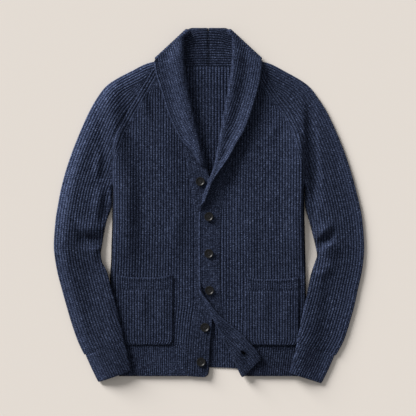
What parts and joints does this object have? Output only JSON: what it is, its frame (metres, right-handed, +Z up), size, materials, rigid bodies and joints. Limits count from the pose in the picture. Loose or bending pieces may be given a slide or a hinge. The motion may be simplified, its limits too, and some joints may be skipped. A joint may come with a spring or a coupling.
{
  "type": "shawl collar cardigan",
  "caption": "Rib-knit shawl collar cardigan with raglan sleeves, patch pockets and a buttoned band, laid flat with its hem corner turned back.",
  "frame": {"origin": "middle of the laid garment's outline, on the surface it rests on", "axes": "+X towards the wearer's left side, +Y from the hem to the collar, +Z up from the surface through the front"},
  "size_m": [0.698, 0.8, 0.0233],
  "materials": {
    "knit": "heathered navy rib knit, matt",
    "button": "black, polished rim"
  },
  "bodies": {
    "root": {"back_panel": "knit", "back_welt": "knit", "front_right": "knit", "front_welt_right": "knit", "front_left": "knit", "front_welt_left": "knit", "sleeve_right": "knit", "sleeve_left": "knit", "cuff_right": "knit", "cuff_left": "knit", "collar_band_right": "knit", "collar_band_left": "knit", "pocket_right": "knit", "pocket_welt_right": "knit", "pocket_left": "knit", "pocket_welt_left": "knit", "button_1": "button", "button_2": "button", "button_3": "button", "button_4": "button", "button_5": "button", "button_6": "button"}
  },
  "joints": []
}
